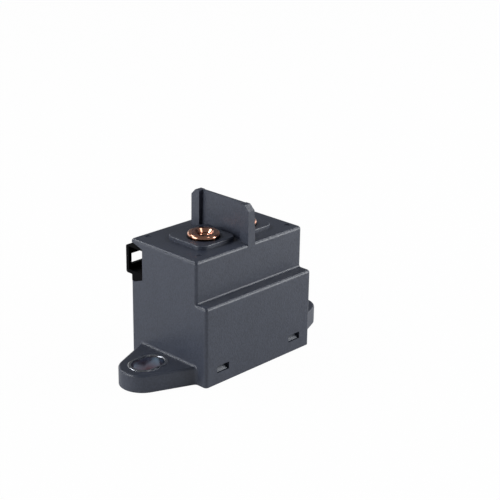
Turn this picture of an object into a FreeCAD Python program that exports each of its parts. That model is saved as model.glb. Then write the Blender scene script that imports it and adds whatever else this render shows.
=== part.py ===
import FreeCAD, Part
import math
import os

from FreeCAD import Vector

# High voltage DC contactor. Millimetres, +Z up, X along the body, the front face towards -Y.
# The origin is midway between the two mounting slots, on the base plane.

# Moulded housing
body_length = 46.5
body_depth = 33.6
ledge_depth = 4.4
ledge_height = 26.1
edge_round = 1.0
ledge_root_round = 0.5
wall = 1.6
roof = 2.0

# Mounting ears
slot_pitch = 63.1
ear_thickness = 5.75
ear_root_half_width = 12.5
ear_end_wall = 2.85
ear_end_radius = 7.5
ear_flank_round = 1.6
ear_root_angle_deg = 20
ear_root_round = 0.7
ear_top_round = 0.65

# Rolled steel sleeves in the ears
sleeve_length = 13.4
sleeve_width = 9.9
sleeve_wall = 1.2
sleeve_seam = 0.25
sleeve_edge_round = 0.35
sleeve_proud = 0.15
insert_gap = 0.01

# Terminals and the raised pads round them
terminal_pitch = 16.2
terminal_radius = 5.1
terminal_proud = 1.4
terminal_chamfer = 0.3
terminal_shank_radius = 4.0
terminal_hole_gap = 0.15
thread_radius = 2.1
thread_depth = 6.5
countersink_radius = 2.65
pad_length = 15.4
pad_depth = 16.0
pad_offset_y = 1.0
pad_height = 1.3
pad_corner_radius = 2.8
pad_edge_round = 0.35

# Insulating barrier between the terminals
barrier_height = 12.2
barrier_length = 25.1
barrier_offset_x = 0.3
barrier_post_width = 3.1
barrier_post_length = 3.5
barrier_web_thickness = 1.4
barrier_web_inset = 1.4
barrier_chamfer = 1.8
barrier_left_draft_deg = 0.2
barrier_right_draft_deg = 2.5

# Ejector marks on the roof, as places on it
ejector_mark_radius = 0.95
ejector_mark_depth = 0.2
ejector_marks = ((-18.6, -8.9), (-18.4, 13.9), (20.3, -8.6))

# Snap windows low in the front and rear walls, and the hooks in them
window_pitch = 32.0
window_width = 5.1
window_bottom = 3.65
window_height = 2.3
hook_gap = 0.15
hook_width = 4.3
hook_height = 1.4
hook_arm_thickness = 1.1
hook_reach = 1.2

# Base cover and the cushion on it
base_recess = 0.2
base_thickness = 1.8
base_gap = 0.1
cushion_thickness = 1.0
cushion_margin = 1.2

# Alcove at the rear left edge, and the coil connector in it
alcove_depth = 5.3
alcove_drop = 0.35
alcove_length = 12.8
alcove_roof = 1.3
alcove_wall = 1.2
alcove_top_cut = 1.2
alcove_floor_cut = 1.3
alcove_top_flat = 1.4
alcove_floor_flat = 1.8
connector_length = 9.4
connector_width = 7.45
connector_height = 9.3
connector_rise = 2.15
connector_headroom = 1.25
connector_wall = 1.2
connector_gap = 0.1
connector_corner_radius = 0.7
connector_foot_margin = 0.15
connector_foot_inset = 0.3
latch_window_length = 5.5
latch_window_height = 3.5
latch_window_inset = 1.2
latch_window_rise = 2.7
pin_size = 0.64
pin_pitch = 3.5
pin_reach = 3.8
pin_leg_spacing = 2.0
pin_leg_inset = 1.9
pin_hole_gap = 0.02

# Iron circuit
yoke_thickness = 2.0
yoke_depth = 16.0
pole_plate_thickness = 2.0
plate_end_gap = 0.4
plate_front_gap = 2.6
plate_rear_gap = 4.9
can_radius = 5.45
can_wall = 0.35
can_flange_width = 1.6
can_floor_rise = 0.4
core_gap = 0.1
core_seat_gap = 0.01
spring_well_radius = 3.2
spring_well_depth = 2.5

# Coil
coil_wall_gap = 1.75
bobbin_flange = 1.2
bobbin_tube_wall = 0.8
bobbin_end_gap = 0.1
bobbin_bore_gap = 0.15
winding_inset = 0.8
winding_gap = 0.05
yoke_leg_gap = 0.3
lug_thickness = 2.2
lug_margin = 1.5

# Sealed ceramic chamber
flange_height = 1.4
flange_sheet = 0.5
chamber_wall = 2.0
chamber_roof = 2.2
chamber_corner_radius = 3.0
chamber_gap = 0.3
rib_length = 3.2
rib_thickness = 1.6
seal_ring_thickness = 0.6
seal_ring_radius = 6.5
seal_gap = 0.05

# Blow-out magnets and the steel clip round the chamber
clip_thickness = 0.8
clip_gap = 0.2
magnet_thickness = 2.0
magnet_depth = 12.0
magnet_top_drop = 2.35
magnet_rise = 2.0

# Contacts
contact_drop = 0.7
fixed_contact_radius = 2.75
fixed_contact_thickness = 1.0
moving_contact_radius = 2.5
moving_contact_thickness = 0.8
contact_round = 0.25
bridge_thickness = 1.6
bridge_width = 6.0
bridge_end_margin = 0.6

# Motion: the armature lifts by the stroke, the bridge stops on the fixed contacts
stroke = 2.0
overtravel = 0.4
closing_gap = 0.02

# Armature
shaft_radius = 1.3
shaft_gap = 0.08
shaft_top_margin = 0.8
plunger_length = 7.5
plunger_gap = 0.1
residual_gap = 0.2
damper_thickness = 0.8
rest_gap = 0.1
ring_thickness = 0.6
ring_radius = 2.5
ring_groove_depth = 0.3
ring_mouth = 1.8
ring_relief_radius = 0.35
ring_relief_turn_deg = 20
seat_radius = 3.0
seat_thickness = 0.6
seat_rise = 0.4
return_wire = 0.5
return_coil_radius = 2.6
return_turns = 5
contact_wire = 0.5
contact_coil_radius = 2.2
contact_turns = 3

# Places worked out from the sizes above
half_length = body_length / 2
half_depth = body_depth / 2
upper_front = -half_depth + ledge_depth
inside_x = half_length - wall
inside_y = half_depth - wall
inside_upper_front = upper_front + wall

alcove_front = half_depth - alcove_depth
alcove_right = -half_length + alcove_length
alcove_bottom = ledge_height - alcove_drop
connector_left = -half_length
connector_front = alcove_front - connector_wall
pocket_front = connector_front - connector_gap
connector_rear = alcove_front + connector_width
connector_bottom = alcove_bottom + connector_rise
connector_top = connector_bottom + connector_height
connector_back = connector_left + connector_length
alcove_top = connector_top + connector_headroom

body_height = alcove_top + alcove_roof
inside_top = body_height - roof
pad_top = body_height + pad_height
terminal_top = pad_top + terminal_proud
terminal_x = terminal_pitch / 2

base_top = base_recess + base_thickness
yoke_bottom = base_top + cushion_thickness
yoke_floor = yoke_bottom + yoke_thickness
plate_top = ledge_height - wall
plate_bottom = plate_top - pole_plate_thickness
plate_half_length = inside_x - plate_end_gap
plate_front = -inside_y + plate_front_gap
plate_rear = inside_y - plate_rear_gap

chamber_bottom = plate_top + flange_height
chamber_top = inside_top - seal_ring_thickness - chamber_gap
chamber_ceiling = chamber_top - chamber_roof
magnet_top = chamber_top - magnet_top_drop
clip_front = inside_upper_front + clip_gap
clip_end = inside_x - clip_gap
chamber_half_length = clip_end - clip_thickness - magnet_thickness - clip_gap
chamber_half_depth = min(
    -clip_front - clip_thickness - clip_gap,
    pocket_front - alcove_wall - chamber_gap,
)

fixed_contact_top = chamber_ceiling - contact_drop
fixed_contact_face = fixed_contact_top - fixed_contact_thickness
bridge_travel = stroke - overtravel
moving_contact_face = fixed_contact_face - bridge_travel - closing_gap
bridge_top = moving_contact_face - moving_contact_thickness
bridge_bottom = bridge_top - bridge_thickness
ring_bottom = bridge_top + rest_gap
shaft_top = ring_bottom + ring_thickness + shaft_top_margin
seat_bottom = plate_top + seat_rise
seat_top = seat_bottom + seat_thickness

can_bottom = yoke_bottom + can_floor_rise
can_floor = can_bottom + can_wall
plunger_bottom = can_floor + damper_thickness + rest_gap
plunger_top = plunger_bottom + plunger_length
core_bottom = plunger_top + stroke + residual_gap
can_inner_radius = can_radius - can_wall

bobbin_bottom = yoke_floor + bobbin_end_gap
bobbin_top = plate_bottom - can_wall - bobbin_end_gap
bobbin_flange_radius = inside_y - coil_wall_gap
bobbin_bore_radius = can_radius + bobbin_bore_gap
bobbin_tube_radius = bobbin_bore_radius + bobbin_tube_wall
yoke_leg_inside = bobbin_flange_radius + yoke_leg_gap

pin_y = (alcove_front + connector_rear - connector_wall) / 2
pin_z = connector_bottom + connector_height / 2
pin_leg_y = inside_y - pin_leg_inset
pin_leg_x_lower = connector_back + pin_size
pin_leg_x_upper = pin_leg_x_lower + pin_leg_spacing
pin_bottom = bobbin_top - lug_thickness - pin_size


def box(x0, x1, y0, y1, z0, z1):
    """A box between two opposite corners."""
    return Part.makeBox(x1 - x0, y1 - y0, z1 - z0, Vector(x0, y0, z0))


def rod(x, y, z0, z1, radius):
    """An upright cylinder."""
    return Part.makeCylinder(radius, z1 - z0, Vector(x, y, z0))


def pipe(x, y, z0, z1, outer, inner):
    """An upright tube."""
    return rod(x, y, z0, z1, outer).cut(rod(x, y, z0, z1, inner))


def turned(profile, x, y):
    """A solid turned about an upright axis from (radius, height) points."""
    points = [Vector(r, 0, z) for r, z in profile]
    face = Part.Face(Part.makePolygon(points + points[:1]))
    solid = face.revolve(Vector(0, 0, 0), Vector(0, 0, 1), 360)
    solid.translate(Vector(x, y, 0))
    return solid


def rounded_plate(x0, x1, y0, y1, z0, z1, radius):
    """A plate with four equal upright corner rounds."""
    plate = box(x0, x1, y0, y1, z0, z1)
    corners = [e for e in plate.Edges if is_upright(e)]
    return plate.makeFillet(radius, corners)


def is_upright(edge):
    """True for a straight edge along Z."""
    box_of_edge = edge.BoundBox
    return box_of_edge.XLength < 1e-6 and box_of_edge.YLength < 1e-6


def obround(x, y, z0, z1, length, width):
    """An upright prism with two straight sides and two round ends, long along X."""
    reach = (length - width) / 2
    bar = box(x - reach, x + reach, y - width / 2, y + width / 2, z0, z1)
    ends = [rod(x + side * reach, y, z0, z1, width / 2) for side in (-1, 1)]
    return bar.fuse(ends).removeSplitter()


def edges_at(shape, test):
    """The edges whose middle point and ends pass a test on (x, y, z)."""
    found = []
    for edge in shape.Edges:
        box_of_edge = edge.BoundBox
        low = (box_of_edge.XMin, box_of_edge.YMin, box_of_edge.ZMin)
        high = (box_of_edge.XMax, box_of_edge.YMax, box_of_edge.ZMax)
        if test(low, high):
            found.append(edge)
    return found


def near(a, b):
    """True for two sizes that agree."""
    return abs(a - b) < 1e-4


def one_solid(shape):
    """The single solid of a shape."""
    return shape.removeSplitter().Solids[0]


def housing_block():
    """The stepped outer block, its edges rounded."""
    lower = box(-half_length, half_length, -half_depth, half_depth, 0, ledge_height)
    upper = box(-half_length, half_length, upper_front, half_depth, 0, body_height)
    block = lower.fuse(upper).removeSplitter()

    def ledge_root(low, high):
        at_root = near(low[1], upper_front) and near(high[1], upper_front)
        return at_root and near(low[2], ledge_height) and near(high[2], ledge_height)

    block = block.makeFillet(ledge_root_round, edges_at(block, ledge_root))

    def rounded(low, high):
        upright = near(low[0], high[0]) and near(low[1], high[1])
        on_roof = near(low[2], body_height) and near(high[2], body_height)
        ledge_front = near(low[1], -half_depth) and near(high[1], -half_depth)
        on_ledge = near(low[2], ledge_height) and near(high[2], ledge_height)
        along_x = not near(low[0], high[0])
        ledge_side = on_ledge and not along_x
        return upright or on_roof or (on_ledge and along_x and ledge_front) or ledge_side

    return block.makeFillet(edge_round, edges_at(block, rounded))


def ear(side):
    """One mounting ear: a round end with straight flanks that spread to the body."""
    end_x = slot_pitch / 2 + sleeve_length / 2 + ear_end_wall
    centre_x = end_x - ear_end_radius
    run = centre_x - half_length
    slope = math.atan2(ear_root_half_width, run)
    slope -= math.asin(ear_end_radius / math.hypot(run, ear_root_half_width))
    touch = Vector(centre_x + ear_end_radius * math.sin(slope), ear_end_radius * math.cos(slope), 0)
    angle = math.radians(ear_root_angle_deg)
    rise = ear_flank_round * (1 - math.cos(angle) * math.sin(slope)) / math.cos(slope)
    centre = Vector(half_length + ear_flank_round * math.cos(angle), ear_root_half_width + rise, 0)
    outward = Vector(math.sin(slope), math.cos(slope), 0)
    wallward = Vector(math.cos(angle), math.sin(angle), 0)
    root = centre - wallward * ear_flank_round
    bend = centre - (outward + wallward).normalize() * ear_flank_round
    flank = centre - outward * ear_flank_round
    inner = Vector(half_length - wall, root.y, 0)

    def flipped(point):
        return Vector(point.x, -point.y, 0)

    outline = Part.Wire([
        Part.makeLine(inner, root),
        Part.Arc(root, bend, flank).toShape(),
        Part.makeLine(flank, touch),
        Part.Arc(touch, Vector(end_x, 0, 0), flipped(touch)).toShape(),
        Part.makeLine(flipped(touch), flipped(flank)),
        Part.Arc(flipped(flank), flipped(bend), flipped(root)).toShape(),
        Part.makeLine(flipped(root), flipped(inner)),
        Part.makeLine(flipped(inner), inner),
    ])
    tongue = Part.Face(outline).extrude(Vector(0, 0, ear_thickness))

    def rim(low, high):
        level = near(low[2], ear_thickness) and near(high[2], ear_thickness)
        return level and high[0] > half_length + edge_round

    tongue = tongue.makeFillet(ear_top_round, edges_at(tongue, rim))
    if side < 0:
        tongue = tongue.mirror(Vector(0, 0, 0), Vector(1, 0, 0))
    return tongue


def with_ears(block):
    """The block with both ears, rounded into it all the way round their roots."""
    joined = block.fuse([ear(-1), ear(1)]).removeSplitter()

    def root(low, high):
        at_wall = near(low[0], high[0]) and near(abs(low[0]), half_length)
        in_span = high[1] < half_depth - edge_round - 1e-3 and low[1] > -half_depth + edge_round + 1e-3
        return at_wall and in_span and high[2] < ear_thickness + 1e-3 and high[2] > 1e-3

    return joined.makeFillet(ear_root_round, edges_at(joined, root))


def barrier_section(x0, x1, y0, y1):
    """A tapered upright wall from the roof to the barrier's top."""
    low = inside_top
    high = body_height + barrier_height
    left_lean = barrier_height * math.tan(math.radians(barrier_left_draft_deg))
    right_lean = barrier_height * math.tan(math.radians(barrier_right_draft_deg))

    def level(z, left, right):
        points = [Vector(left, y0, z), Vector(right, y0, z), Vector(right, y1, z), Vector(left, y1, z)]
        return Part.makePolygon(points + points[:1])

    straight = Part.Face(level(low, x0, x1)).extrude(Vector(0, 0, body_height - low))
    top = level(high, x0 + left_lean, x1 - right_lean)
    tapered = Part.makeLoft([level(body_height, x0, x1), top], True, True)
    return straight.fuse(tapered)


def barrier():
    """The barrier: a thin web between two thicker posts, its top corners cut off."""
    y0 = upper_front
    y1 = y0 + barrier_length
    top = body_height + barrier_height
    x0 = barrier_offset_x - barrier_post_width / 2
    x1 = x0 + barrier_post_width
    front_post = barrier_section(x0, x1, y0, y0 + barrier_post_length)
    rear_post = barrier_section(x0, x1, y1 - barrier_post_length, y1)
    web_left = x0 + barrier_web_inset
    web = barrier_section(web_left, web_left + barrier_web_thickness, y0, y1)
    whole = front_post.fuse([rear_post, web]).removeSplitter()
    for y, turn in ((y0, 1), (y1, -1)):
        x = barrier_offset_x - barrier_post_width
        corner = Part.Face(Part.makePolygon([
            Vector(x, y, top),
            Vector(x, y + turn * barrier_chamfer, top),
            Vector(x, y, top - barrier_chamfer),
            Vector(x, y, top),
        ]))
        whole = whole.cut(corner.extrude(Vector(2 * barrier_post_width, 0, 0)))
    return whole


def pad(side):
    """One raised terminal pad with a softened rim."""
    x = side * terminal_x
    plate = rounded_plate(
        x - pad_length / 2, x + pad_length / 2,
        pad_offset_y - pad_depth / 2, pad_offset_y + pad_depth / 2,
        inside_top, pad_top, pad_corner_radius,
    )
    rim = edges_at(plate, lambda low, high: near(low[2], pad_top) and near(high[2], pad_top))
    return plate.makeFillet(pad_edge_round, rim)


def housing_cavity():
    """The room inside the housing, less the block that wraps the alcove."""
    lower = box(-inside_x, inside_x, -inside_y, inside_y, 0, plate_top)
    upper = box(-inside_x, inside_x, inside_upper_front, inside_y, 0, inside_top)
    alcove_block = box(
        -half_length, alcove_right + alcove_wall,
        pocket_front - alcove_wall, half_depth,
        alcove_bottom - alcove_wall, body_height,
    )
    return lower.fuse(upper).cut(alcove_block)


def alcove():
    """The recess for the connector, with a pocket for its front wall behind the left wall."""
    x = -half_length
    points = [
        Vector(x, half_depth, alcove_bottom),
        Vector(x, half_depth, alcove_top),
        Vector(x, half_depth - alcove_top_flat, alcove_top),
        Vector(x, alcove_front, alcove_top - alcove_top_cut),
        Vector(x, alcove_front, alcove_bottom + alcove_floor_cut),
        Vector(x, half_depth - alcove_floor_flat, alcove_bottom),
    ]
    profile = Part.makePolygon(points + points[:1])
    recess = Part.Face(profile).extrude(Vector(alcove_length, 0, 0))
    pocket = box(
        -inside_x, alcove_right, pocket_front, alcove_front + connector_gap,
        connector_bottom - connector_gap, connector_top + connector_gap,
    )
    return recess.fuse(pocket)


def snap_windows():
    """Four windows, two in the front wall and two in the rear wall."""
    cuts = []
    for side in (-1, 1):
        x = side * window_pitch / 2
        for y0, y1 in ((-half_depth, -inside_y), (inside_y, half_depth)):
            cuts.append(box(
                x - window_width / 2, x + window_width / 2, y0, y1,
                window_bottom, window_bottom + window_height,
            ))
    return cuts


def pin_holes():
    """Two square holes in the alcove's floor for the coil pins."""
    half = pin_size / 2 + pin_hole_gap
    holes = []
    for x in (pin_leg_x_lower, pin_leg_x_upper):
        holes.append(box(
            x - half, x + half, pin_leg_y - half, pin_leg_y + half,
            alcove_bottom - alcove_wall, alcove_bottom + alcove_floor_cut,
        ))
    return holes


def hold_down_ribs():
    """Two ribs inside the end walls that press on the pole plate's rear corners."""
    ribs = []
    y1 = min(plate_rear, pocket_front - alcove_wall)
    for side in (-1, 1):
        x0, x1 = sorted((side * inside_x, side * (inside_x - rib_length)))
        ribs.append(box(x0, x1, y1 - rib_thickness, y1, plate_top, plate_top + flange_height))
    return ribs


def housing_cover():
    """The moulded housing: body, ears, pads, barrier, alcove and snap windows in one piece."""
    shape = with_ears(housing_block())
    shape = shape.fuse([pad(-1), pad(1), barrier()]).removeSplitter()
    cuts = [housing_cavity(), alcove()]
    cuts += snap_windows()
    cuts += pin_holes()
    for side in (-1, 1):
        cuts.append(obround(
            side * slot_pitch / 2, 0, 0, ear_thickness,
            sleeve_length + 2 * insert_gap, sleeve_width + 2 * insert_gap,
        ))
        cuts.append(rod(
            side * terminal_x, 0, inside_top - wall, pad_top,
            terminal_radius + terminal_hole_gap,
        ))
    for x, y in ejector_marks:
        cuts.append(rod(x, y, body_height - ejector_mark_depth, body_height, ejector_mark_radius))
    shape = shape.cut(cuts)
    shape = shape.fuse(hold_down_ribs())
    return one_solid(shape)


def mounting_sleeve(side):
    """A compression sleeve rolled from strip, with a narrow seam on its front side."""
    x = side * slot_pitch / 2
    top = ear_thickness + sleeve_proud
    outer = obround(x, 0, 0, top, sleeve_length, sleeve_width)
    inner = obround(
        x, 0, 0, top, sleeve_length - 2 * sleeve_wall, sleeve_width - 2 * sleeve_wall,
    )
    sleeve = outer.cut(inner)
    rim = edges_at(sleeve, lambda low, high: near(low[2], top) and near(high[2], top))
    sleeve = sleeve.makeFillet(sleeve_edge_round, rim)
    seam = box(
        x - sleeve_seam / 2, x + sleeve_seam / 2, -sleeve_width / 2, 0, 0, top,
    )
    return one_solid(sleeve.cut(seam))


def base_cover():
    """The base cover: a plate with four sprung arms that hook into the windows."""
    edge_x = inside_x - base_gap
    edge_y = inside_y - base_gap
    shape = box(-edge_x, edge_x, -edge_y, edge_y, base_recess, base_top)
    catch = window_bottom + hook_gap
    tip = catch + hook_height
    arms = []
    for side in (-1, 1):
        for facing in (-1, 1):
            x0 = side * window_pitch / 2 - hook_width / 2
            profile = [
                (edge_y - hook_arm_thickness, base_recess),
                (edge_y, base_recess),
                (edge_y, catch),
                (edge_y + base_gap + hook_reach, catch),
                (edge_y, tip),
                (edge_y - hook_arm_thickness, tip),
            ]
            points = [Vector(x0, facing * y, z) for y, z in profile]
            face = Part.Face(Part.makePolygon(points + points[:1]))
            arms.append(face.extrude(Vector(hook_width, 0, 0)))
    return one_solid(shape.fuse(arms))


def yoke_cushion():
    """The rubber cushion between the base cover and the yoke."""
    x = yoke_leg_inside + yoke_thickness - cushion_margin
    y = yoke_depth / 2 - cushion_margin
    return box(-x, x, -y, y, base_top, yoke_bottom)


def yoke():
    """The iron yoke, bent to a U, with a hole for the plunger can in its floor."""
    x_in = yoke_leg_inside
    x_out = x_in + yoke_thickness
    y = yoke_depth / 2
    outer = box(-x_out, x_out, -y, y, yoke_bottom, plate_bottom)
    bends = edges_at(
        outer,
        lambda low, high: near(low[2], yoke_bottom) and near(high[2], yoke_bottom)
        and near(low[0], high[0]),
    )
    outer = outer.makeFillet(yoke_thickness, bends)
    inner = box(-x_in, x_in, -y, y, yoke_floor, plate_bottom)
    hole = rod(0, 0, yoke_bottom, yoke_floor, can_radius + bobbin_bore_gap)
    return one_solid(outer.cut([inner, hole]))


def pole_plate():
    """The flat iron plate across the yoke, under the arc chamber."""
    plate = rounded_plate(
        -plate_half_length, plate_half_length, plate_front, plate_rear,
        plate_bottom, plate_top, edge_round,
    )
    hole = rod(0, 0, plate_bottom, plate_top, can_inner_radius - core_gap + core_seat_gap)
    return one_solid(plate.cut(hole))


def fixed_core():
    """The fixed iron core, bored for the shaft, with a well for the return spring."""
    radius = can_inner_radius - core_gap
    bore = shaft_radius + shaft_gap
    well = core_bottom + spring_well_depth
    return turned([
        (bore, plate_top), (radius, plate_top), (radius, core_bottom),
        (spring_well_radius, core_bottom), (spring_well_radius, well), (bore, well),
    ], 0, 0)


def plunger_can():
    """The thin drawn can that seals the plunger in, flanged under the pole plate."""
    top = plate_bottom
    flange = can_radius + can_flange_width
    return turned([
        (0, can_bottom), (can_radius, can_bottom), (can_radius, top - can_wall),
        (flange, top - can_wall), (flange, top), (can_inner_radius, top),
        (can_inner_radius, can_floor), (0, can_floor),
    ], 0, 0)


def coil_bobbin():
    """The bobbin: a tube with two flanges, and a lug at the rear left for the coil pins."""
    r0 = bobbin_bore_radius
    r1 = bobbin_tube_radius
    r2 = bobbin_flange_radius
    spool = turned([
        (r0, bobbin_bottom), (r2, bobbin_bottom), (r2, bobbin_bottom + bobbin_flange),
        (r1, bobbin_bottom + bobbin_flange), (r1, bobbin_top - bobbin_flange),
        (r2, bobbin_top - bobbin_flange), (r2, bobbin_top), (r0, bobbin_top),
    ], 0, 0)
    lug = box(
        pin_leg_x_lower - lug_margin, -bobbin_tube_radius,
        yoke_depth / 2 + yoke_leg_gap, pin_leg_y + lug_margin,
        bobbin_top - lug_thickness, bobbin_top,
    )
    lug = lug.cut(rod(0, 0, bobbin_bottom, bobbin_top - bobbin_flange, winding_radius() + winding_gap))
    half = pin_size / 2 + pin_hole_gap
    holes = []
    for x in (pin_leg_x_lower, pin_leg_x_upper):
        holes.append(box(
            x - half, x + half, pin_leg_y - half, pin_leg_y + half,
            bobbin_top - lug_thickness, bobbin_top,
        ))
    return one_solid(spool.fuse(lug).cut(holes))


def winding_radius():
    """The winding's outer radius, a little inside the flanges."""
    return bobbin_flange_radius - winding_inset


def coil_winding():
    """The copper winding, taped over, as one ring between the flanges."""
    return pipe(
        0, 0,
        bobbin_bottom + bobbin_flange + winding_gap, bobbin_top - bobbin_flange - winding_gap,
        winding_radius(), bobbin_tube_radius + winding_gap,
    )


def coil_connector():
    """The connector shroud, open to the left, its front wall tucked behind the left wall."""
    x0 = connector_left
    x1 = connector_back
    t = connector_wall
    outer = box(x0, x1, connector_front, connector_rear, connector_bottom, connector_top)
    long_edges = edges_at(
        outer,
        lambda low, high: near(low[1], high[1]) and near(low[2], high[2]),
    )
    outer = outer.makeFillet(connector_corner_radius, long_edges)
    cavity = box(
        x0, x1 - t, alcove_front, connector_rear - t,
        connector_bottom + t, connector_top - t,
    )
    mouth = box(
        x0, -inside_x + connector_gap, connector_front, alcove_front,
        connector_bottom, connector_top,
    )
    window = box(
        x0 + latch_window_inset, x0 + latch_window_inset + latch_window_length,
        connector_rear - t, connector_rear,
        connector_bottom + latch_window_rise,
        connector_bottom + latch_window_rise + latch_window_height,
    )
    foot_left = x0 + connector_foot_inset
    points = [
        Vector(foot_left, half_depth - connector_foot_margin, alcove_bottom),
        Vector(foot_left, half_depth - alcove_floor_flat, alcove_bottom),
        Vector(foot_left, alcove_front, alcove_bottom + alcove_floor_cut),
        Vector(foot_left, alcove_front, connector_bottom + t / 2),
        Vector(foot_left, half_depth - connector_foot_margin, connector_bottom + t / 2),
    ]
    foot = Part.Face(Part.makePolygon(points + points[:1])).extrude(Vector(x1 - foot_left, 0, 0))
    half = pin_size / 2 + pin_hole_gap
    slots = []
    for z in (pin_z - pin_pitch / 2, pin_z + pin_pitch / 2):
        slots.append(box(x1 - t, x1, pin_y - half, pin_y + half, z - half, z + half))
    return one_solid(outer.cut([cavity, mouth, window]).fuse(foot).cut(slots))


def coil_pin(level):
    """One bent pin: a tab in the socket, a jog, and a leg down to the bobbin's lug."""
    half = pin_size / 2
    z = pin_z + level * pin_pitch / 2
    leg_x = pin_leg_x_upper if level > 0 else pin_leg_x_lower
    tip_x = connector_back - connector_wall - pin_reach
    tab = box(tip_x, leg_x + half, pin_y - half, pin_y + half, z - half, z + half)
    y0, y1 = sorted((pin_leg_y - half, pin_y + half))
    jog = box(leg_x - half, leg_x + half, y0, y1, z - half, z + half)
    leg = box(
        leg_x - half, leg_x + half, pin_leg_y - half, pin_leg_y + half, pin_bottom, z + half,
    )
    return one_solid(tab.fuse([jog, leg]))


def arc_chamber():
    """The ceramic chamber, open below, with two holes in its roof for the terminals."""
    x = chamber_half_length
    y = chamber_half_depth
    outer = rounded_plate(-x, x, -y, y, chamber_bottom, chamber_top, chamber_corner_radius)
    t = chamber_wall
    inner = rounded_plate(
        -x + t, x - t, -y + t, y - t, chamber_bottom, chamber_ceiling,
        chamber_corner_radius - t,
    )
    holes = []
    for side in (-1, 1):
        holes.append(rod(
            side * terminal_x, 0, chamber_ceiling, chamber_top, terminal_shank_radius + seal_gap,
        ))
    return one_solid(outer.cut([inner] + holes))


def chamber_flange():
    """The thin metal frame that joins the ceramic to the pole plate."""
    x = chamber_half_length
    y = chamber_half_depth
    t = chamber_wall
    s = flange_sheet
    r = chamber_corner_radius
    foot = rounded_plate(-x, x, -y, y, plate_top, plate_top + s, r)
    skirt = rounded_plate(
        -x + t - s, x - t + s, -y + t - s, y - t + s, plate_top, chamber_bottom, r - t + s,
    )
    room = rounded_plate(-x + t, x - t, -y + t, y - t, plate_top, chamber_bottom, r - t)
    return one_solid(foot.fuse(skirt).cut(room))


def seal_ring(side):
    """The ring brazed between a terminal's shoulder and the ceramic."""
    return pipe(
        side * terminal_x, 0, chamber_top, chamber_top + seal_ring_thickness,
        seal_ring_radius, terminal_shank_radius + seal_gap,
    )


def terminal(side):
    """A copper terminal: a head that stands out of its pad, tapped, on a narrower shank."""
    shoulder = chamber_top + seal_ring_thickness
    c = terminal_chamfer
    sink = countersink_radius - thread_radius
    return turned([
        (0, fixed_contact_top), (terminal_shank_radius, fixed_contact_top),
        (terminal_shank_radius, shoulder), (terminal_radius, shoulder),
        (terminal_radius, terminal_top - c), (terminal_radius - c, terminal_top),
        (countersink_radius, terminal_top), (thread_radius, terminal_top - sink),
        (thread_radius, terminal_top - thread_depth), (0, terminal_top - thread_depth),
    ], side * terminal_x, 0)


def contact_tip(x, z0, z1, radius, face):
    """A silver contact button, its rim rounded on the face that meets the other contact."""
    button = rod(x, 0, z0, z1, radius)
    rim = edges_at(button, lambda low, high: near(low[2], face) and near(high[2], face))
    return button.makeFillet(contact_round, rim)


def fixed_contact(side):
    """The contact button under a terminal's shank."""
    return contact_tip(
        side * terminal_x, fixed_contact_face, fixed_contact_top,
        fixed_contact_radius, fixed_contact_face,
    )


def moving_contact(side):
    """The contact button on one end of the bridge."""
    return contact_tip(
        side * terminal_x, bridge_top, moving_contact_face,
        moving_contact_radius, moving_contact_face,
    )


def contact_bridge():
    """The copper bridge that joins the two fixed contacts."""
    reach = terminal_x + moving_contact_radius + bridge_end_margin
    bar = obround(0, 0, bridge_bottom, bridge_top, 2 * reach, bridge_width)
    return one_solid(bar.cut(rod(0, 0, bridge_bottom, bridge_top, shaft_radius + shaft_gap)))


def magnet(side):
    """One blow-out magnet, beside the end of the arc chamber."""
    x0, x1 = sorted((side * (clip_end - clip_thickness), side * (chamber_half_length + clip_gap)))
    z0 = plate_top + magnet_rise
    return box(x0, x1, -magnet_depth / 2, magnet_depth / 2, z0, magnet_top)


def magnet_clip():
    """The steel strip, bent to a U, that holds the magnets and closes their circuit."""
    rear = magnet_depth / 2
    z0 = plate_top
    z1 = magnet_top
    outer = box(-clip_end, clip_end, clip_front, rear, z0, z1)
    bends = [e for e in outer.Edges if is_upright(e) and near(e.BoundBox.YMin, clip_front)]
    outer = outer.makeFillet(2 * clip_thickness, bends)
    t = clip_thickness
    inner = box(-clip_end + t, clip_end - t, clip_front + t, rear, z0, z1)
    bends = [e for e in inner.Edges if is_upright(e) and near(e.BoundBox.YMin, clip_front + t)]
    inner = inner.makeFillet(t, bends)
    return one_solid(outer.cut(inner))


def plunger():
    """The iron plunger, bored for the shaft, with a well for the return spring."""
    radius = can_inner_radius - plunger_gap
    bore = shaft_radius + insert_gap
    well = plunger_top - spring_well_depth
    return turned([
        (bore, plunger_bottom), (radius, plunger_bottom), (radius, plunger_top),
        (spring_well_radius, plunger_top), (spring_well_radius, well), (bore, well),
    ], 0, 0)


def drive_shaft():
    """The shaft from the plunger to the bridge, grooved for the retaining ring."""
    groove = shaft_radius - ring_groove_depth
    ring_top = ring_bottom + ring_thickness
    return turned([
        (0, plunger_bottom), (shaft_radius, plunger_bottom), (shaft_radius, ring_bottom),
        (groove, ring_bottom), (groove, ring_top), (shaft_radius, ring_top),
        (shaft_radius, shaft_top), (0, shaft_top),
    ], 0, 0)


def retaining_ring():
    """The E-shaped ring in the shaft's groove that keeps the bridge on."""
    groove = shaft_radius - ring_groove_depth + insert_gap
    z0 = ring_bottom + insert_gap
    z1 = ring_bottom + ring_thickness - insert_gap
    disc = rod(0, 0, z0, z1, ring_radius).cut(rod(0, 0, z0, z1, groove))
    mouth = box(-ring_mouth / 2, ring_mouth / 2, -ring_radius, 0, z0, z1)
    turn = math.radians(ring_relief_turn_deg)
    reliefs = []
    for side in (-1, 1):
        x = side * groove * math.cos(turn)
        reliefs.append(rod(x, groove * math.sin(turn), z0, z1, ring_relief_radius))
    return one_solid(disc.cut([mouth] + reliefs))


def spring_seat():
    """The collar on the shaft that carries the contact spring."""
    return pipe(0, 0, seat_bottom, seat_top, seat_radius, shaft_radius + insert_gap)


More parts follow.
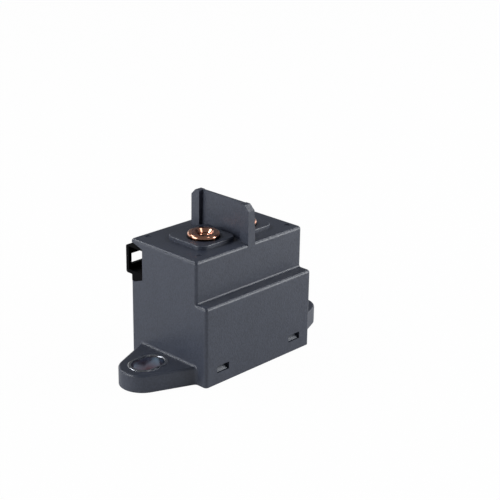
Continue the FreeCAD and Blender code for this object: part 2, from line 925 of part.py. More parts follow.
def spring(z0, z1, radius, wire, turns):
    """A compression spring of round wire between two heights, bent in quarter turns."""
    bends = 4 * turns
    rise = (z1 - z0 - wire) / bends

    def on_helix(bend):
        turn = bend * math.pi / 2
        height = z0 + wire / 2 + bend * rise
        return Vector(radius * math.cos(turn), radius * math.sin(turn), height)

    arcs = [
        Part.Arc(on_helix(bend), on_helix(bend + 0.5), on_helix(bend + 1)).toShape()
        for bend in range(bends)
    ]
    start = arcs[0].tangentAt(arcs[0].FirstParameter)
    section = Part.Wire(Part.makeCircle(wire / 2, on_helix(0), start))
    return Part.Wire(arcs).makePipeShell([section], True, True)


def return_spring():
    """The spring that pushes the plunger down, held in the two wells."""
    return spring(
        plunger_top - spring_well_depth, core_bottom + spring_well_depth,
        return_coil_radius, return_wire, return_turns,
    )


def contact_spring():
    """The spring that presses the bridge up against its ring."""
    return spring(seat_top, bridge_bottom, contact_coil_radius, contact_wire, contact_turns)


def plunger_damper():
    """The rubber disc under the plunger in the can."""
    return rod(0, 0, can_floor, can_floor + damper_thickness, can_inner_radius - plunger_gap)


def all_parts():
    """Every piece under its own name."""
    return {
        "housing_cover": housing_cover(),
        "base_cover": base_cover(),
        "yoke_cushion": yoke_cushion(),
        "mounting_sleeve_left": mounting_sleeve(-1),
        "mounting_sleeve_right": mounting_sleeve(1),
        "coil_connector": coil_connector(),
        "coil_pin_lower": coil_pin(-1),
        "coil_pin_upper": coil_pin(1),
        "yoke": yoke(),
        "pole_plate": pole_plate(),
        "fixed_core": fixed_core(),
        "plunger_can": plunger_can(),
        "plunger_damper": plunger_damper(),
        "coil_bobbin": coil_bobbin(),
        "coil_winding": coil_winding(),
        "chamber_flange": chamber_flange(),
        "arc_chamber": arc_chamber(),
        "seal_ring_left": seal_ring(-1),
        "seal_ring_right": seal_ring(1),
        "terminal_left": terminal(-1),
        "terminal_right": terminal(1),
        "fixed_contact_left": fixed_contact(-1),
        "fixed_contact_right": fixed_contact(1),
        "magnet_left": magnet(-1),
        "magnet_right": magnet(1),
        "magnet_clip": magnet_clip(),
        "return_spring": return_spring(),
        "plunger": plunger(),
        "drive_shaft": drive_shaft(),
        "spring_seat": spring_seat(),
        "retaining_ring": retaining_ring(),
        "contact_spring": contact_spring(),
        "contact_bridge": contact_bridge(),
        "moving_contact_left": moving_contact(-1),
        "moving_contact_right": moving_contact(1),
    }


os.makedirs("parts", exist_ok=True)
for name, shape in all_parts().items():
    shape.exportStep("parts/" + name + ".step")
    print(name, "valid" if shape.isValid() else "INVALID", round(shape.Volume, 2), len(shape.Faces))
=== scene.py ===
import math

import bmesh
import bpy
from mathutils import Matrix, Vector


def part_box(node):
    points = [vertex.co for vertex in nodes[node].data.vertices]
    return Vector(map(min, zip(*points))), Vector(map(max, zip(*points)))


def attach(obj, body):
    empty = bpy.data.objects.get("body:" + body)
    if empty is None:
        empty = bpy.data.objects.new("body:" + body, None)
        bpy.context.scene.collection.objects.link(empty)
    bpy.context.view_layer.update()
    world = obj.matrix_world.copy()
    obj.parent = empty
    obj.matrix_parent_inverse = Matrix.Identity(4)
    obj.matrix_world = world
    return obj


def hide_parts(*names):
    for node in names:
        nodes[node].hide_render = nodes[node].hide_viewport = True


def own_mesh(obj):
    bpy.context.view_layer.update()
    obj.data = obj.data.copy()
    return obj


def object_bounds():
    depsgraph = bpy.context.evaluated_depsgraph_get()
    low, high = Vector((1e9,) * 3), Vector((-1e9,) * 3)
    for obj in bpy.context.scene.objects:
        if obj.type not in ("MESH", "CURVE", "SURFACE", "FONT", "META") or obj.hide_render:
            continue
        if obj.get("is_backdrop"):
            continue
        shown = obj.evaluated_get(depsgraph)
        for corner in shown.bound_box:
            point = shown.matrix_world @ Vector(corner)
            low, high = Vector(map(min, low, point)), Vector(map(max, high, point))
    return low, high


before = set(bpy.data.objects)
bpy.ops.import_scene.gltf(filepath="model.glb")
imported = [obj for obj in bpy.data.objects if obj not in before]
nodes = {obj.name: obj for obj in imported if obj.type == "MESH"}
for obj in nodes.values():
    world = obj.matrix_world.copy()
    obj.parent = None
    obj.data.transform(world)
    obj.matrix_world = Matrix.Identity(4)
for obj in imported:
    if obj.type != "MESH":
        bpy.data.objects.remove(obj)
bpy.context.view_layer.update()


# Housing cover. One injection moulding in glass filled polyamide, dyed blue-grey.
# The tool was spark eroded, so every face has a fine even grain and a satin sheen,
# and the glass fibres leave slightly paler, drier patches where the melt slowed down.

MM = 0.001


def paint(code):
    """An sRGB hex colour as linear RGBA."""
    parts = [int(code[i:i + 2], 16) / 255 for i in (0, 2, 4)]
    linear = [c / 12.92 if c <= 0.04045 else ((c + 0.055) / 1.055) ** 2.4 for c in parts]
    return (*linear, 1.0)


def add(tree, kind, settings=None, **inputs):
    """Adds a node, sets its properties, and sets or links its inputs by name."""
    node = tree.nodes.new(kind)
    for key, value in (settings or {}).items():
        setattr(node, key, value)
    for name, value in inputs.items():
        label = name.replace("_", " ")
        socket = node.inputs[int(name[1:])] if name[1:].isdigit() else node.inputs[label]
        if isinstance(value, bpy.types.NodeSocket):
            tree.links.new(value, socket)
        else:
            socket.default_value = value
    return node


def new_material(name):
    """An empty node material and its output node."""
    material = bpy.data.materials.new(name)
    material.use_nodes = True
    tree = material.node_tree
    tree.nodes.clear()
    return material, tree, tree.nodes.new("ShaderNodeOutputMaterial")


def dress(material, *names):
    """Gives a material to CAD nodes."""
    for name in names:
        mesh = nodes[name].data
        mesh.materials.clear()
        mesh.materials.append(material)


def moulded_plastic(name, low, high, roughness, grain_mm, grain_height_mm, gloss=0.5):
    """A moulded plastic: eroded grain, cloudy colour and sheen."""
    material, tree, out = new_material(name)
    place = add(tree, "ShaderNodeTexCoord").outputs["Object"]
    cloud_size = 9 * MM
    cloud = add(tree, "ShaderNodeTexNoise", Vector=place, Scale=1 / cloud_size,
                Detail=3.0, Roughness=0.55)
    speck = add(tree, "ShaderNodeTexNoise", Vector=place, Scale=1 / (grain_mm * MM),
                Detail=2.0, Roughness=0.6)
    crisp = add(tree, "ShaderNodeMapRange", Value=speck.outputs["Fac"],
                From_Min=0.35, From_Max=0.65, To_Min=0.0, To_Max=0.6)
    both = add(tree, "ShaderNodeMath", {"operation": "MULTIPLY_ADD"},
               _0=cloud.outputs["Fac"], _1=0.4, _2=crisp.outputs["Result"])
    sheen = add(tree, "ShaderNodeMapRange", Value=speck.outputs["Fac"],
                From_Min=0.3, From_Max=0.7, To_Min=roughness - 0.05, To_Max=roughness + 0.06)
    bump = add(tree, "ShaderNodeBump", Height=speck.outputs["Fac"], Strength=0.45,
               Distance=grain_height_mm * MM)
    tone = add(tree, "ShaderNodeMix", {"data_type": "RGBA"},
               _0=both.outputs[0], _6=paint(low), _7=paint(high))
    shader = add(tree, "ShaderNodeBsdfPrincipled", Base_Color=tone.outputs[2],
                 Roughness=sheen.outputs["Result"], IOR=1.5, Specular_IOR_Level=gloss,
                 Normal=bump.outputs["Normal"])
    tree.links.new(shader.outputs[0], out.inputs["Surface"])
    return material


# The eroded grain is really about 0.05 mm. It is drawn at 0.55 mm so that it shows, and the finer
# grain of the other moulded and fired pieces at 0.25 to 0.5 mm.
housing_polyamide = moulded_plastic("glass filled polyamide, blue-grey", "282c37", "373c49",
                                    0.39, 0.55, 0.12)
dress(housing_polyamide, "housing_cover")


# Base cover. A second moulding, snapped in from below, in a slightly paler and smoother polyamide.
# Only its hooks show from the side, in the four small windows.
cover_polyamide = moulded_plastic("glass filled polyamide, base cover", "3d4149", "4b4f57",
                                  0.33, 0.4, 0.02)
dress(cover_polyamide, "base_cover")


# Mounting sleeves. Steel strip rolled to an obround and pressed into the ears, then zinc
# plated and passivated. The film's tone grades from pale blue high in the bore to darker purple
# low in it, which is painted reflection and shade over the film's own colour, and the film is
# rubbed off the rim.

def passivated_zinc():
    """Zinc plate under a passivate film, graded from pale blue high in the bore to dark purple low in it
    as painted reflection and shade.
    """
    material, tree, out = new_material("blue passivated zinc plate")
    place = add(tree, "ShaderNodeTexCoord").outputs["Object"]
    height = add(tree, "ShaderNodeSeparateXYZ", Vector=place).outputs["Z"]
    cloud_size = 5 * MM
    cloud = add(tree, "ShaderNodeTexNoise", Vector=place, Scale=1 / cloud_size,
                Detail=2.0, Roughness=0.5)
    # Painted reflection and shade: the tone goes by height, pale blue near the top and dark purple deep
    # in the bore.
    level = add(tree, "ShaderNodeMapRange", Value=height,
                From_Min=0.0, From_Max=sleeve_top, To_Min=-0.75, To_Max=0.55)
    film = add(tree, "ShaderNodeMath", {"operation": "ADD", "use_clamp": True},
               _0=level.outputs["Result"], _1=cloud.outputs["Fac"])
    bore_film_and_shade = add(tree, "ShaderNodeMix", {"data_type": "RGBA"},
                  _0=film.outputs[0], _6=paint("705a62"), _7=paint("92aec4"))
    # The film ends just below the rim, where the bare zinc shows.
    film_end, rim_start = 0.84 * sleeve_top, 0.93 * sleeve_top
    rim = add(tree, "ShaderNodeMapRange", Value=height, From_Min=film_end, From_Max=rim_start)
    tone = add(tree, "ShaderNodeMix", {"data_type": "RGBA"},
               _0=rim.outputs["Result"], _6=bore_film_and_shade.outputs[2], _7=paint("95979c"))
    shader = add(tree, "ShaderNodeBsdfPrincipled", Metallic=1.0, Base_Color=tone.outputs[2],
                 Roughness=0.22)
    tree.links.new(shader.outputs[0], out.inputs["Surface"])
    return material


sleeve_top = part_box("mounting_sleeve_left")[1].z
dress(passivated_zinc(), "mounting_sleeve_left", "mounting_sleeve_right")


# Copper terminals. Each is turned from bar, faced, countersunk and tapped M5, and stands bare out
# of its pad. The mesh follows the CAD profile and adds the thread, a round rim and a wider sink.

def turned_copper(wall):
    """Bare copper with the facing tool's rings round each terminal's axis, and painted shade on the wall.
    """
    material, tree, out = new_material("bare turned copper")
    place = add(tree, "ShaderNodeTexCoord").outputs["Object"]
    split = add(tree, "ShaderNodeSeparateXYZ", Vector=place)
    axis_x = add(tree, "ShaderNodeMath", {"operation": "ABSOLUTE"}, _0=split.outputs["X"])
    from_axis = add(tree, "ShaderNodeMath", {"operation": "SUBTRACT"},
                    _0=axis_x.outputs[0], _1=terminal_x)
    flat = add(tree, "ShaderNodeCombineXYZ", X=from_axis.outputs[0], Y=split.outputs["Y"], Z=0.0)
    radius = add(tree, "ShaderNodeVectorMath", {"operation": "LENGTH"}, _0=flat.outputs[0])
    # The tool advances 0.12 mm a turn; the rings are drawn 0.25 mm apart so that they show.
    ring_spacing = 0.25 * MM
    ring_height = 0.004 * MM
    turns = add(tree, "ShaderNodeMath", {"operation": "MULTIPLY"},
                _0=radius.outputs["Value"], _1=2 * math.pi / ring_spacing)
    ring = add(tree, "ShaderNodeMath", {"operation": "SINE"}, _0=turns.outputs[0])
    tarnish_size = 2.2 * MM
    tarnish = add(tree, "ShaderNodeTexNoise", Vector=place, Scale=1 / tarnish_size,
                  Detail=4.0, Roughness=0.6)
    sheen = add(tree, "ShaderNodeMapRange", Value=tarnish.outputs["Fac"],
                From_Min=0.35, From_Max=0.7, To_Min=0.1, To_Max=0.2)
    bump = add(tree, "ShaderNodeBump", Height=ring.outputs[0], Strength=0.12, Distance=ring_height)
    tone = add(tree, "ShaderNodeMix", {"data_type": "RGBA"},
               _0=tarnish.outputs["Fac"], _6=paint("dca88f"), _7=paint("b37a63"))
    # Painted shade: below the rim's round, the head's outer wall is mixed to the dark colour passed in.
    wall_top, rim_foot = terminal_top - 1.2 * rim_round, terminal_top - 0.8 * rim_round
    below_rim = add(tree, "ShaderNodeMapRange", Value=split.outputs["Z"],
                    From_Min=wall_top, From_Max=rim_foot, To_Min=1.0, To_Max=0.0)
    outermost = add(tree, "ShaderNodeMapRange", Value=radius.outputs["Value"],
                    From_Min=terminal_radius - 2 * rim_round, From_Max=terminal_radius - rim_round)
    wall_shade_mask = add(tree, "ShaderNodeMath", {"operation": "MULTIPLY"},
                  _0=below_rim.outputs["Result"], _1=outermost.outputs["Result"])
    with_wall_shade = add(tree, "ShaderNodeMix", {"data_type": "RGBA"},
                 _0=wall_shade_mask.outputs[0], _6=tone.outputs[2], _7=paint(wall))
    shader = add(tree, "ShaderNodeBsdfPrincipled", Metallic=1.0, Base_Color=with_wall_shade.outputs[2],
                 Roughness=sheen.outputs["Result"], Normal=bump.outputs["Normal"])
    tree.links.new(shader.outputs[0], out.inputs["Surface"])
    return material


terminal_low, terminal_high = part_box("terminal_left")
terminal_x = -(terminal_low.x + terminal_high.x) / 2
terminal_radius = (terminal_high.x - terminal_low.x) / 2
terminal_top = terminal_high.z
seal_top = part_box("seal_ring_left")[1].z
shank_radius = 4.0 * MM
rim_round = 0.75 * MM
sink_radius = 3.1 * MM
thread_core = 2.1 * MM
thread_height = 0.35 * MM
thread_pitch = 0.8 * MM
thread_depth = 6.5 * MM
thread_top = terminal_top - (sink_radius - thread_core)
thread_bottom = terminal_top - thread_depth
groove_half = 0.42
run_out = 0.6 * thread_pitch
rim_steps = 6
rings_per_pitch = 8
sectors = 96
sharp_angle = 32


def thread_wall(height, sector):
    """The tapped wall's radius at a height and sector: a V groove that runs out at both ends."""
    phase = ((height - thread_bottom) / thread_pitch + sector / sectors) % 1.0
    groove = max(0.0, 1.0 - abs(phase - 0.5) / groove_half)
    ends = min(thread_top - height, height - thread_bottom) / run_out
    return thread_core + thread_height * groove * max(0.0, min(1.0, ends))


def terminal_mesh(name, x):
    """One terminal as rings of points from the shank's end, over the head and down the thread."""
    outside = [(shank_radius, terminal_low.z), (shank_radius, seal_top), (terminal_radius, seal_top)]
    for step in range(rim_steps + 1):
        lean = math.radians(90 * step / rim_steps)
        outside.append((terminal_radius - rim_round * (1 - math.cos(lean)),
                        terminal_top - rim_round * (1 - math.sin(lean))))
    outside += [(0.5 * (terminal_radius + sink_radius), terminal_top), (sink_radius, terminal_top)]
    steps = round((thread_top - thread_bottom) / thread_pitch * rings_per_pitch)
    rows = [[r] * sectors for r, z in outside]
    heights = [z for r, z in outside]
    for step in range(steps + 1):
        height = thread_top + (thread_bottom - thread_top) * step / steps
        rows.append([thread_wall(height, s) for s in range(sectors)])
        heights.append(height)
    build = bmesh.new()
    rings = []
    for row, height in zip(rows, heights):
        ring = []
        for s, r in enumerate(row):
            turn = 2 * math.pi * s / sectors
            ring.append(build.verts.new((x + r * math.cos(turn), r * math.sin(turn), height)))
        rings.append(ring)
    for low, high in zip(rings, rings[1:]):
        for s in range(sectors):
            t = (s + 1) % sectors
            build.faces.new((low[s], low[t], high[t], high[s]))
    build.faces.new(list(reversed(rings[0])))
    build.faces.new(rings[-1])
    bmesh.ops.recalc_face_normals(build, faces=build.faces[:])
    mesh = bpy.data.meshes.new(name)
    build.to_mesh(mesh)
    build.free()
    for polygon in mesh.polygons:
        polygon.use_smooth = len(polygon.vertices) == 4
    mesh.set_sharp_from_angle(angle=math.radians(sharp_angle))
    return mesh


# The head's wall is painted dark brown as painted shade; only its face and rim show the bright turned
# copper.
terminal_copper = turned_copper("38281f")
for side, x in (("left", -terminal_x), ("right", terminal_x)):
    label = "tapped_terminal_" + side
    tapped = bpy.data.objects.new(label, terminal_mesh(label, x))
    bpy.context.scene.collection.objects.link(tapped)
    tapped.data.materials.append(terminal_copper)
    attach(tapped, "housing")
    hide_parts("terminal_" + side)


# Coil connector. A small shroud moulded in near black polyester, smoother than the housing, and
# held in the recess by its foot. The mesh is the CAD piece with its roof thinned over the
# opening, so that the latch window shows. Two tin plated pins stand inside it.
connector_polyester = moulded_plastic("polyester, near black", "050507", "09090b", 0.26, 0.25, 0.006,
                                      gloss=0.035)
roof_thickness = 1.2 * MM
roof_thinning = 0.75 * MM
roof_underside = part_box("coil_connector")[1].z - roof_thickness
tolerance = 0.01 * MM
shroud_build = bmesh.new()
shroud_build.from_mesh(nodes["coil_connector"].data)
bmesh.ops.remove_doubles(shroud_build, verts=shroud_build.verts, dist=0.1 * tolerance)
for corner in shroud_build.verts:
    if abs(corner.co.z - roof_underside) < tolerance:
        corner.co.z += roof_thinning
shroud_mesh = bpy.data.meshes.new("shroud")
shroud_build.to_mesh(shroud_mesh)
shroud_build.free()
shroud = bpy.data.objects.new("shroud", shroud_mesh)
bpy.context.scene.collection.objects.link(shroud)
shroud.data.materials.append(connector_polyester)
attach(shroud, "housing")
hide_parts("coil_connector")


def drawn_metal(name, low, high, roughness, line_mm, across, bump_mm):
    """A metal with fine lines left by drawing or rolling, across one direction."""
    material, tree, out = new_material(name)
    place = add(tree, "ShaderNodeTexCoord").outputs["Object"]
    stretch = add(tree, "ShaderNodeMapping", Vector=place,
                  Scale=tuple(1.0 if axis == across else 0.06 for axis in "XYZ"))
    lines = add(tree, "ShaderNodeTexNoise", Vector=stretch.outputs[0],
                Scale=1 / (line_mm * MM), Detail=2.0, Roughness=0.5)
    patch_size = 4 * MM
    patches = add(tree, "ShaderNodeTexNoise", Vector=place, Scale=1 / patch_size, Detail=2.0)
    sheen = add(tree, "ShaderNodeMapRange", Value=patches.outputs["Fac"],
                From_Min=0.3, From_Max=0.7, To_Min=roughness * 0.8, To_Max=roughness * 1.25)
    bump = add(tree, "ShaderNodeBump", Height=lines.outputs["Fac"], Strength=0.3,
               Distance=bump_mm * MM)
    tone = add(tree, "ShaderNodeMix", {"data_type": "RGBA"},
               _0=lines.outputs["Fac"], _6=paint(low), _7=paint(high))
    shader = add(tree, "ShaderNodeBsdfPrincipled", Metallic=1.0, Base_Color=tone.outputs[2],
                 Roughness=sheen.outputs["Result"], Normal=bump.outputs["Normal"])
    tree.links.new(shader.outputs[0], out.inputs["Surface"])
    return material


# Tin plate is pale and softly bright. Drawn and rolled lines are really about 0.02 mm apart; here
# and on the other metals they are 0.15 to 0.25 mm apart so that they show.
tin_plate = drawn_metal("tin plated bronze", "a9a69d", "cdcac1", 0.3, 0.15, "X", 0.005)
dress(tin_plate, "coil_pin_lower", "coil_pin_upper")


# Coil. Enamelled copper wire wound on a black bobbin, one turn close beside the next.
# The outer layer is made by Geometry Nodes: a ring of wire, repeated up the bobbin.
bobbin_polyester = moulded_plastic("polyester, black", "1a1a1b", "232324", 0.4, 0.25, 0.006)
dress(bobbin_polyester, "coil_bobbin")


def enamelled_wire():
    """Copper wire under a clear amber enamel, which gives it a deep red shine."""
    material, tree, out = new_material("enamelled copper wire")
    place = add(tree, "ShaderNodeTexCoord").outputs["Object"]
    streak_size = 1.5 * MM
    streak = add(tree, "ShaderNodeTexNoise", Vector=place, Scale=1 / streak_size, Detail=3.0)
    tone = add(tree, "ShaderNodeMix", {"data_type": "RGBA"},
               _0=streak.outputs["Fac"], _6=paint("8a4526"), _7=paint("b5653a"))
    shader = add(tree, "ShaderNodeBsdfPrincipled", Metallic=0.9, Base_Color=tone.outputs[2],
                 Roughness=0.3, Coat_Weight=0.6, Coat_Roughness=0.12)
    tree.links.new(shader.outputs[0], out.inputs["Surface"])
    return material


def winding_plan(name, lengths):
    """A Geometry Nodes tree that takes a number of turns and some lengths, and the inputs' keys."""
    tree = bpy.data.node_groups.new(name, "GeometryNodeTree")
    keys = {}
    for label in ("Turns", *lengths):
        socket = tree.interface.new_socket(label, in_out="INPUT", socket_type="NodeSocketFloat")
        keys[label] = socket.identifier
    tree.interface.new_socket("Geometry", in_out="OUTPUT", socket_type="NodeSocketGeometry")
    return tree, keys, tree.nodes.new("NodeGroupInput").outputs


def end_winding_plan(tree, wire, material):
    """Ends the tree with the wire as real geometry in one material."""
    real = add(tree, "GeometryNodeRealizeInstances", Geometry=wire)
    coat = add(tree, "GeometryNodeSetMaterial", Geometry=real.outputs["Geometry"], Material=material)
    end = tree.nodes.new("NodeGroupOutput")
    tree.links.new(coat.outputs["Geometry"], end.inputs["Geometry"])


def wound_wire(name, tree, keys, values):
    """A new object with the wire that a winding plan makes from the values."""
    mandrel = bpy.data.objects.new(name + "_mandrel", bpy.data.meshes.new(name + "_mandrel"))
    bpy.context.scene.collection.objects.link(mandrel)
    modifier = mandrel.modifiers.new("winding", "NODES")
    modifier.node_group = tree
    for label, value in values.items():
        modifier[keys[label]] = value
    wound = mandrel.evaluated_get(bpy.context.evaluated_depsgraph_get())
    wire = bpy.data.objects.new(name, bpy.data.meshes.new_from_object(wound))
    bpy.data.objects.remove(mandrel)
    bpy.context.scene.collection.objects.link(wire)
    for polygon in wire.data.polygons:
        polygon.use_smooth = len(polygon.vertices) == 4
    return wire


def wire_layer(material):
    """A Geometry Nodes tree that stacks rings of round wire."""
    lengths = ("Pitch", "Layer radius", "Wire radius", "First turn height")
    tree, keys, given = winding_plan("wire layer", lengths)
    start = add(tree, "ShaderNodeCombineXYZ", Z=given["First turn height"])
    step = add(tree, "ShaderNodeCombineXYZ", Z=given["Pitch"])
    places = add(tree, "GeometryNodeMeshLine", {"mode": "OFFSET"}, Count=given["Turns"],
                 Start_Location=start.outputs[0], Offset=step.outputs[0])
    ring = add(tree, "GeometryNodeCurvePrimitiveCircle", {"mode": "RADIUS"}, Resolution=72,
               Radius=given["Layer radius"])
    section = add(tree, "GeometryNodeCurvePrimitiveCircle", {"mode": "RADIUS"}, Resolution=8,
                  Radius=given["Wire radius"])
    wire = add(tree, "GeometryNodeCurveToMesh", Curve=ring.outputs["Curve"],
               Profile_Curve=section.outputs["Curve"])
    stack = add(tree, "GeometryNodeInstanceOnPoints", Points=places.outputs["Mesh"],
                Instance=wire.outputs["Mesh"])
    end_winding_plan(tree, stack.outputs["Instances"], material)
    return tree, keys


winding_low, winding_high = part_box("coil_winding")
wire_radius = 0.18 * MM
layer_turns = int((winding_high.z - winding_low.z) / (2 * wire_radius))
layer_tree, layer_keys = wire_layer(enamelled_wire())
coil = wound_wire("coil_wire", layer_tree, layer_keys, {
    "Turns": float(layer_turns),
    "Pitch": (winding_high.z - winding_low.z) / layer_turns,
    "Layer radius": winding_high.x - wire_radius,
    "Wire radius": wire_radius,
    "First turn height": winding_low.z + wire_radius,
})
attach(coil, "housing")
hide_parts("coil_winding")


# Iron circuit. Soft iron strip and bar, nickel plated against rust, with a faint
# satin from the barrel it was plated in.
plated_iron = drawn_metal("nickel plated soft iron", "8c8a84", "aaa79f", 0.32, 0.25, "Z", 0.008)
dress(plated_iron, "yoke", "pole_plate", "fixed_core", "plunger")


# Sheet steel and shaft. The can, the flange, the seal rings, the clip, the shaft, the seat and
# the ring are bright drawn stainless, left as they come from the tool.
bright_steel = drawn_metal("bright drawn stainless steel", "9b9a98", "c6c5c2", 0.24, 0.15, "Z", 0.006)
dress(bright_steel, "plunger_can", "chamber_flange", "seal_ring_left", "seal_ring_right", "magnet_clip",
      "drive_shaft", "spring_seat", "retaining_ring")


# Springs. Hard drawn stainless wire, bright with fine lines, coiled cold round a mandrel. The
# return spring opens the contacts and the contact spring presses the bridge up.

def helical_spring(material):
    """A Geometry Nodes tree that sweeps round wire along a helix."""
    lengths = ("Coil radius", "Wire radius", "Foot height", "Rise")
    tree, keys, given = winding_plan("helical spring", lengths)
    helix = add(tree, "GeometryNodeCurveSpiral", Resolution=32, Rotations=given["Turns"],
                Start_Radius=given["Coil radius"], End_Radius=given["Coil radius"], Height=given["Rise"])
    section = add(tree, "GeometryNodeCurvePrimitiveCircle", {"mode": "RADIUS"}, Resolution=10,
                  Radius=given["Wire radius"])
    wire = add(tree, "GeometryNodeCurveToMesh", Curve=helix.outputs["Curve"],
               Profile_Curve=section.outputs["Curve"], Fill_Caps=True)
    foot = add(tree, "ShaderNodeCombineXYZ", Z=given["Foot height"])
    placed = add(tree, "GeometryNodeTransform", Geometry=wire.outputs["Mesh"],
                 Translation=foot.outputs[0])
    end_winding_plan(tree, placed.outputs["Geometry"], material)
    return tree, keys


spring_wire = drawn_metal("hard drawn stainless wire", "8e8e8e", "bcbcbb", 0.26, 0.15, "Z", 0.004)
spring_tree, spring_keys = helical_spring(spring_wire)
spring_wire_radius = 0.25 * MM
end_clearance = 0.02 * MM
# Each spring's turns, body, joint, the joint's full travel and which of its ends stays still.
springs = (
    ("return_spring", 5, "housing", "armature_slide", 2.0 * MM, "top"),
    ("contact_spring", 3, "armature", "bridge_slide", 0.4 * MM, "foot"),
)
for name, turns, body, joint, travel, still in springs:
    low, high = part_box(name)
    coil_spring = wound_wire(name + "_wire", spring_tree, spring_keys, {
        "Turns": float(turns),
        "Coil radius": (high.y - low.y) / 2 - spring_wire_radius,
        "Wire radius": spring_wire_radius,
        "Foot height": low.z + spring_wire_radius + end_clearance,
        "Rise": high.z - low.z - 2 * (spring_wire_radius + end_clearance),
    })
    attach(coil_spring, body)
    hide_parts(name)
    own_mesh(coil_spring)


# Contacts. A rolled copper bar, warm and bright, carries two brazed silver alloy buttons, which
# meet two more under the terminals. Silver alloy is pale and matt where it was coined.
bridge_copper = drawn_metal("bare rolled copper", "a5664d", "cf9478", 0.28, 0.2, "X", 0.005)
dress(bridge_copper, "contact_bridge")
silver_alloy = drawn_metal("silver alloy, coined", "c3c2bd", "dedcd6", 0.36, 0.2, "X", 0.006)
dress(silver_alloy, "fixed_contact_left", "fixed_contact_right", "moving_contact_left",
      "moving_contact_right")


# Arc chamber. A box of white alumina, pressed and fired, with the flange and the seal rings
# brazed to it. It is matt and faintly warm, with a fine tooth.
alumina = moulded_plastic("fired alumina", "dedbd2", "ebe8e0", 0.55, 0.35, 0.01)
dress(alumina, "arc_chamber")


# Magnets. Two blocks of sintered ferrite that blow the arcs out sideways, held to the chamber by
# the steel clip. Ground on their faces, dark grey and a little crumbly.
ferrite = moulded_plastic("sintered ferrite", "26272a", "36373a", 0.5, 0.4, 0.03)
dress(ferrite, "magnet_left", "magnet_right")


# Rubber. The cushion between the base cover and the yoke, and the disc under the plunger. Both
# are moulded in plain black rubber, with a dull face.
damper_rubber = moulded_plastic("black rubber", "151515", "1e1e1e", 0.75, 0.5, 0.02, gloss=0.3)
dress(damper_rubber, "yoke_cushion", "plunger_damper")


# Studio. A white floor and surround, one soft lamp at each side of the camera, two long lamps that
# draw the light lines on the rounded edges, and a small high one that the countersinks show. Weak
# lamps keep the far sides from going black, and one lights the underside through the floor.

def white_share(tree, ray, to_camera, to_gloss):
    """How much of the white background a ray sees, from the camera and off metal or glass."""
    mirrored = add(tree, "ShaderNodeMath", {"operation": "MAXIMUM"},
                   _0=ray.outputs["Is Glossy Ray"], _1=ray.outputs["Is Transmission Ray"])
    in_gloss = add(tree, "ShaderNodeMath", {"operation": "MULTIPLY"}, _0=mirrored.outputs[0], _1=to_gloss)
    share = add(tree, "ShaderNodeMath", {"operation": "MULTIPLY_ADD"},
                _0=ray.outputs["Is Camera Ray"], _1=to_camera, _2=in_gloss.outputs[0])
    return share.outputs[0]


def studio_floor():
    """A plain pale floor, nearly white to the camera, that keeps a trace of the part's shadow."""
    material, tree, out = new_material("studio floor")
    ray = add(tree, "ShaderNodeLightPath")
    paper = add(tree, "ShaderNodeBsdfDiffuse", Color=paint("d9d9d9"))
    white = add(tree, "ShaderNodeEmission", Color=(1, 1, 1, 1), Strength=1.0)
    share = white_share(tree, ray, to_camera=0.98, to_gloss=0.42)
    mix = add(tree, "ShaderNodeMixShader", Fac=share, _1=paper.outputs[0], _2=white.outputs[0])
    # Light from below passes only to what stands on the floor, so that the underside can be seen.
    near = add(tree, "ShaderNodeMath", {"operation": "LESS_THAN"},
               _0=ray.outputs["Ray Length"], _1=lit_height)
    below = add(tree, "ShaderNodeNewGeometry").outputs["Backfacing"]
    clear = add(tree, "ShaderNodeBsdfTransparent")
    opening = add(tree, "ShaderNodeMath", {"operation": "MAXIMUM"}, _0=near.outputs[0], _1=below)
    whole = add(tree, "ShaderNodeMixShader", Fac=opening.outputs[0],
                _1=mix.outputs[0], _2=clear.outputs[0])
    tree.links.new(whole.outputs[0], out.inputs["Surface"])
    return material


floor_gap = 0.05 * MM
lit_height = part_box("base_cover")[0].z + 2 * floor_gap
reach = 20.0
floor_mesh = bpy.data.meshes.new("floor")
floor_corners = [(x * reach, y * reach, -floor_gap) for x, y in ((-1, -1), (1, -1), (1, 1), (-1, 1))]
floor_mesh.from_pydata(floor_corners, [], [(0, 1, 2, 3)])
floor = bpy.data.objects.new("floor", floor_mesh)
bpy.context.scene.collection.objects.link(floor)
floor.data.materials.append(studio_floor())
floor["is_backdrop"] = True

surround = bpy.data.worlds.new("surround")
bpy.context.scene.world = surround
surround.use_nodes = True
sky = surround.node_tree
sky.nodes.clear()
sky_out = sky.nodes.new("ShaderNodeOutputWorld")
ray = add(sky, "ShaderNodeLightPath")
# The studio behind the part is white to the camera, and gloss and glass see a share of that white.
# Everything else gets a dim light from it, so that the lamps model the part.
share = white_share(sky, ray, to_camera=1.0, to_gloss=0.1)
dim = add(sky, "ShaderNodeBackground", Color=(0.93, 0.96, 1.0, 1), Strength=0.12)
white = add(sky, "ShaderNodeBackground", Color=(1, 1, 1, 1), Strength=1.0)
seen = add(sky, "ShaderNodeMixShader", Fac=share, _1=dim.outputs[0], _2=white.outputs[0])
sky.links.new(seen.outputs[0], sky_out.inputs["Surface"])

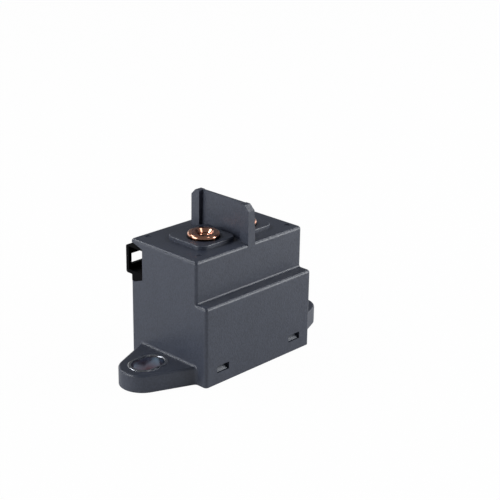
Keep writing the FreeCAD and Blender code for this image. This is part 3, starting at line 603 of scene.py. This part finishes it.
# The camera's turn, height, roll and place are worked out from the photograph's own perspective.
# The place is in hundredths of the body's length, along the camera's own three directions.
azimuth, elevation, roll = math.radians(-46.299), math.radians(20.786), math.radians(0.902)
back = Vector((math.sin(azimuth) * math.cos(elevation), -math.cos(azimuth) * math.cos(elevation),
               math.sin(elevation)))
level = Vector((math.cos(azimuth), math.sin(azimuth), 0))
above = back.cross(level)
right = level * math.cos(roll) + above * math.sin(roll)
up = above * math.cos(roll) - level * math.sin(roll)
unit = 0.465 * MM
middle = Vector((0, 0, 50 * unit))
to_right, to_up, to_back = 19.075, 22.091, 888.645
camera_place = middle + unit * (to_right * right + to_up * up + to_back * back)
picture_pixels = 500
focal_pixels = 1306.67
camera_data = bpy.data.cameras.new("camera")
camera_data.sensor_width = 36
camera_data.lens = focal_pixels / picture_pixels * camera_data.sensor_width
camera_data.clip_start = 0.01
camera = bpy.data.objects.new("camera", camera_data)
bpy.context.scene.collection.objects.link(camera)
camera.matrix_world = Matrix((
    (right.x, up.x, back.x, camera_place.x),
    (right.y, up.y, back.y, camera_place.y),
    (right.z, up.z, back.z, camera_place.z),
    (0, 0, 0, 1),
))
bpy.context.scene.camera = camera


def lamp(name, turn, height, distance, size, watts, colour=(1, 1, 1)):
    """A soft lamp that faces the part from a turn and a height in degrees, with sizes in metres."""
    a, e = math.radians(turn), math.radians(height)
    towards = Vector((math.sin(a) * math.cos(e), -math.cos(a) * math.cos(e), math.sin(e)))
    data = bpy.data.lights.new(name, "AREA")
    data.shape = "RECTANGLE"
    data.size, data.size_y = size
    data.energy = watts
    data.color = colour
    holder = bpy.data.objects.new(name, data)
    bpy.context.scene.collection.objects.link(holder)
    holder.location = middle + towards * distance
    holder.rotation_euler = towards.to_track_quat("Z", "Y").to_euler()


cool, cooler = (0.96, 0.98, 1.0), (0.95, 0.97, 1.0)
lamp("front lamp", 43, 9, 0.7, (0.4, 0.4), 4.8, cool)
lamp("left lamp", -108, 8, 0.7, (0.4, 0.4), 4.7, cool)
lamp("left edge lamp", -151, 42, 0.7, (0.4, 0.11), 1.8, cooler)
lamp("front edge lamp", 66, 41, 0.7, (0.45, 0.11), 1.4, cooler)
lamp("high lamp", 10, 63, 0.7, (0.16, 0.16), 0.3)
lamp("rear fill lamp", 180, 8, 0.8, (0.8, 0.4), 1.0)
lamp("right fill lamp", 92, 8, 0.8, (0.5, 0.4), 1.0)
lamp("under lamp", 0, -90, 0.6, (0.5, 0.5), 5.0)

scene = bpy.context.scene
scene.view_settings.view_transform = "Standard"
low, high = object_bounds()
